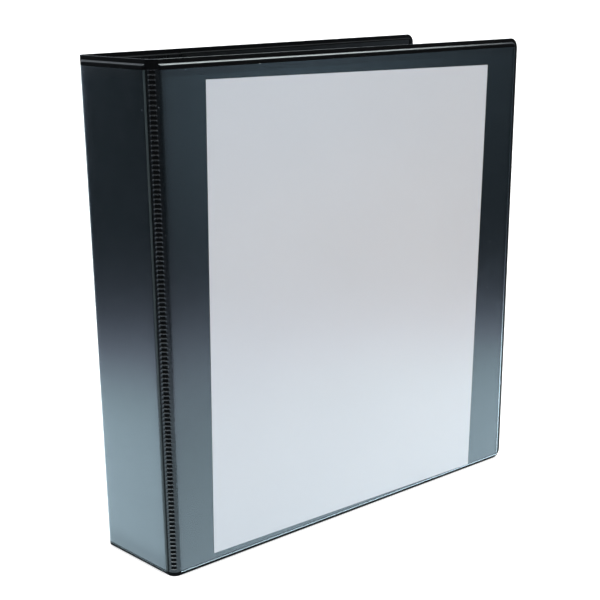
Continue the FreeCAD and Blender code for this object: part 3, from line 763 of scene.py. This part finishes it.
cover("front", front, 1, "front_cover", 2)
cover("back", back, -1, "back_cover", 11)
spine_panel()
hinge_web("front_hinge_strip", -1, FRONT_OPEN, "front_hinge_web")
hinge_web("back_hinge_strip", 1, BACK_OPEN, "back_hinge_web")

# Materials and slots of CAD nodes that keep their shape, by a word in their names. The rest
# of the nodes that are left are plated steel.
KEPT = {
    "cover_insert": (card, "white_card"),
    "board": (greyboard, "greyboard"),
    "blade": (blade_steel, "blade_steel"),
}
for name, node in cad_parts.items():
    if node.hide_render:
        continue
    material, slot = next(
        (found for key, found in KEPT.items() if key in name), (nickel, "nickel_steel")
    )
    node.data.materials.clear()
    node.data.materials.append(material)


# ---- camera, floor and light ----

CAMERA_SPOT = Vector((-0.5094, -0.4605, 0.3391))
CAMERA_AZIMUTH = 46.877
CAMERA_ELEVATION = -16.301
CAMERA_ROLL = -0.516
CAMERA_LENS = 66.54

azimuth, elevation = math.radians(CAMERA_AZIMUTH), math.radians(CAMERA_ELEVATION)
ahead = Vector(
    (
        math.sin(azimuth) * math.cos(elevation),
        math.cos(azimuth) * math.cos(elevation),
        math.sin(elevation),
    )
)
level = ahead.cross(UP).normalized()
roll = math.radians(CAMERA_ROLL)
across = level * math.cos(roll) + level.cross(ahead) * math.sin(roll)
camera = add_object("camera", bpy.data.cameras.new("camera"))
camera.data.lens = CAMERA_LENS
camera.data.sensor_width = 36
camera.data.clip_start = 0.01
camera.data.clip_end = 200
camera.matrix_world = Matrix.Translation(CAMERA_SPOT) @ Matrix(
    (across, across.cross(ahead), -ahead)
).transposed().to_4x4()
bpy.context.scene.camera = camera
bpy.context.scene.view_settings.view_transform = "Standard"

# The floor's look to the camera: white paper that is a little overexposed.
FLOOR_RADIUS = 40.0
PAPER = (0.64, 0.64, 0.64, 1)
PAPER_GLOW = 0.65
# A pool of light that only mirrors see: its size and place, and its fall outwards.
POOL_RADIUS = 0.436
POOL_FALL = 6.0
POOL_LIGHT = 1.76
POOL_AHEAD = 0.0075
POOL_LEFT = 0.0204
# It grows brighter along this slope, over this range.
POOL_SLOPE = Vector((0.97, 1.3, 0))
SLOPE_RANGE = (-0.33, 0.07)
SLOPE_LIGHTS = (0.7 * POOL_LIGHT, 1.07 * POOL_LIGHT)
# Past the front cover's free edge, but only on the front's side, it is brighter.
FREE_EDGE = front @ Vector((COVER_WIDTH, 0, 0))
PAST_EDGE = Vector((0.743, 0.669, 0))
PAST_RANGE = (0.01, 0.12)
FRONT_SIDE_RANGE = (-0.08, -0.03)
BRIGHTER = 3.6
# A narrow strip of floor beside the spine is dimmer: it dims over the first range, and is
# full again over the second.
DIMMER = 0.8
STRIP_START = (-0.158, -0.149)
STRIP_END = (-0.1415, -0.139)
POOL_TINTS = ((0.0, (0.88, 0.98, 1.3)), (0.3, (0.86, 0.99, 1.25)), (0.75, (0.8, 1.04, 1.18)))
# The dim room, and a tall window in it, as the floor's mirror image shows them.
ROOM_TINT = (0.71, 1.01, 1.24, 1)
ROOM_LIGHT = 0.085
WINDOW_FOOT = Vector((-0.12, 0, 0))
WINDOW_SIDE = Vector((0.462, -0.887, 0))
WINDOW_FOCUS = 70
WINDOW_LIGHT = 0.41
WINDOW_START = 0.95
WINDOW_FALL = 3.0
SWEEP_LIGHT = 1.2
WHITE = (1, 1, 1, 1)

view_line = Vector((ahead.x, ahead.y, 0)).normalized()


def behind(n, direction):
    """How far a direction points past the object, seen from the camera's side: 0 to 1."""
    share = n.vector("DOT_PRODUCT", n.vector("NORMALIZE", direction), view_line)
    return n.span(share, 0.0, 1.0, (0.12, 0.45))


def pool_light(n):
    """Strength of the pool, and of the bright sweep behind the object."""
    middle = POOL_AHEAD * view_line + POOL_LEFT * UP.cross(view_line)
    away = n.vector("LENGTH", n.vector("SUBTRACT", n.place, middle))
    fall = n.number("POWER", n.number("DIVIDE", away, POOL_RADIUS), POOL_FALL)
    slope = n.vector("DOT_PRODUCT", n.place, POOL_SLOPE)
    strength = n.span(slope, *SLOPE_LIGHTS, SLOPE_RANGE)
    axes = n.add("ShaderNodeSeparateXYZ", {"Vector": n.place}).outputs
    bearing = n.vector("NORMALIZE", n.vector("SUBTRACT", n.place, FREE_EDGE))
    past = n.vector("DOT_PRODUCT", bearing, PAST_EDGE)
    beyond = n.number(
        "MINIMUM",
        n.span(past, 1.0, BRIGHTER, PAST_RANGE),
        n.span(axes["Y"], BRIGHTER, 1.0, FRONT_SIDE_RANGE),
    )
    shade = n.number(
        "MAXIMUM",
        n.span(axes["X"], 1.0, DIMMER, STRIP_START),
        n.span(axes["X"], 0.0, 1.0, STRIP_END),
    )
    strength = n.number("MULTIPLY", strength, n.number("MULTIPLY", beyond, shade))
    pool = n.number("DIVIDE", strength, n.number("ADD", fall, 1.0))
    return n.number("MAXIMUM", pool, n.number("MULTIPLY", behind(n, n.place), SWEEP_LIGHT))


def window_light(n):
    """Strength of the window's streak, which starts some way off and runs to one side."""
    from_foot = n.vector("SUBTRACT", n.place, WINDOW_FOOT)
    side = n.vector("DOT_PRODUCT", n.vector("NORMALIZE", from_foot), WINDOW_SIDE)
    lobe = n.number("POWER", n.number("MAXIMUM", side, 0.0), WINDOW_FOCUS)
    reach = n.number("DIVIDE", WINDOW_START, n.vector("LENGTH", from_foot))
    close = n.number("POWER", reach, WINDOW_FALL)
    return n.number("DIVIDE", n.number("MULTIPLY", lobe, WINDOW_LIGHT), n.number("ADD", close, 1.0))


def make_floor_material():
    """A white sweep. Mirrored in the case it is a pool of light that fades into a dim room."""
    n = Nodes("floor")
    path = n.add("ShaderNodeLightPath").outputs
    paper = n.add("ShaderNodeBsdfDiffuse", {"Color": PAPER}).outputs["BSDF"]
    seen = n.both(paper, n.glow(WHITE, PAPER_GLOW))
    pool = pool_light(n)
    tint = n.ramp(n.number("DIVIDE", pool, POOL_LIGHT), POOL_TINTS)
    room = n.glow(ROOM_TINT, n.number("ADD", window_light(n), ROOM_LIGHT))
    lit = n.both(n.glow(tint, pool), room)
    camera_sees = n.mix(path["Is Camera Ray"], paper, seen)
    return n.done(n.mix(path["Is Glossy Ray"], camera_sees, lit))


def make_floor():
    """A wide disc just under the object's foot."""
    mesh = bpy.data.meshes.new("floor")
    work = bmesh.new()
    bmesh.ops.create_circle(work, cap_ends=True, segments=96, radius=FLOOR_RADIUS)
    work.to_mesh(mesh)
    work.free()
    mesh.materials.append(make_floor_material())
    floor = add_object("floor", mesh)
    floor.location.z = -0.0003
    return floor


def make_world():
    """White to the camera. To the surfaces a dim cool room, with the white sweep behind."""
    n = Nodes("world", world=True)
    path = n.add("ShaderNodeLightPath").outputs
    white = n.glow(WHITE, 1.0, "Background")
    room = n.glow((0.85, 1.0, 1.15, 1), 0.1, "Background")
    sweep = n.glow((0.9, 1.0, 1.1, 1), SWEEP_LIGHT, "Background")
    share = n.number("MULTIPLY", behind(n, n.place), path["Is Glossy Ray"])
    return n.done(n.mix(path["Is Camera Ray"], n.mix(share, room, sweep), white))


def add_light(name, kind, spot, target, energy, colour, **settings):
    """A light at a spot, turned towards its target."""
    data = bpy.data.lights.new(name, kind)
    data.energy = energy
    data.color = colour
    for key, value in settings.items():
        setattr(data, key, value)
    light = add_object(name, data)
    light.location = spot
    light.rotation_mode = "QUATERNION"
    light.rotation_quaternion = (Vector(target) - Vector(spot)).to_track_quat("-Z", "Y")
    return light


make_floor()
bpy.context.scene.world = make_world()
overhead = add_light(
    "overhead", "SUN", (-0.12, -0.16, 0.98), (0, 0, 0), 4.6, (1.0, 1.0, 1.0),
    angle=math.radians(60),
)
overhead.visible_glossy = False
top_box = add_light(
    "top_box", "AREA", (0.05, 0.05, 1.5), (0.0, 0.03, 0.3), 110, (0.9, 1.0, 1.0),
    shape="RECTANGLE", size=2.0, size_y=2.0,
)
top_box.visible_diffuse = False
bounce = add_light(
    "bounce", "AREA", (0.15, -0.55, 0.03), (0.0, -0.04, 0.06), 0.9, (1.0, 0.62, 0.3),
    shape="RECTANGLE", size=0.5, size_y=0.2,
)
bounce.visible_glossy = False
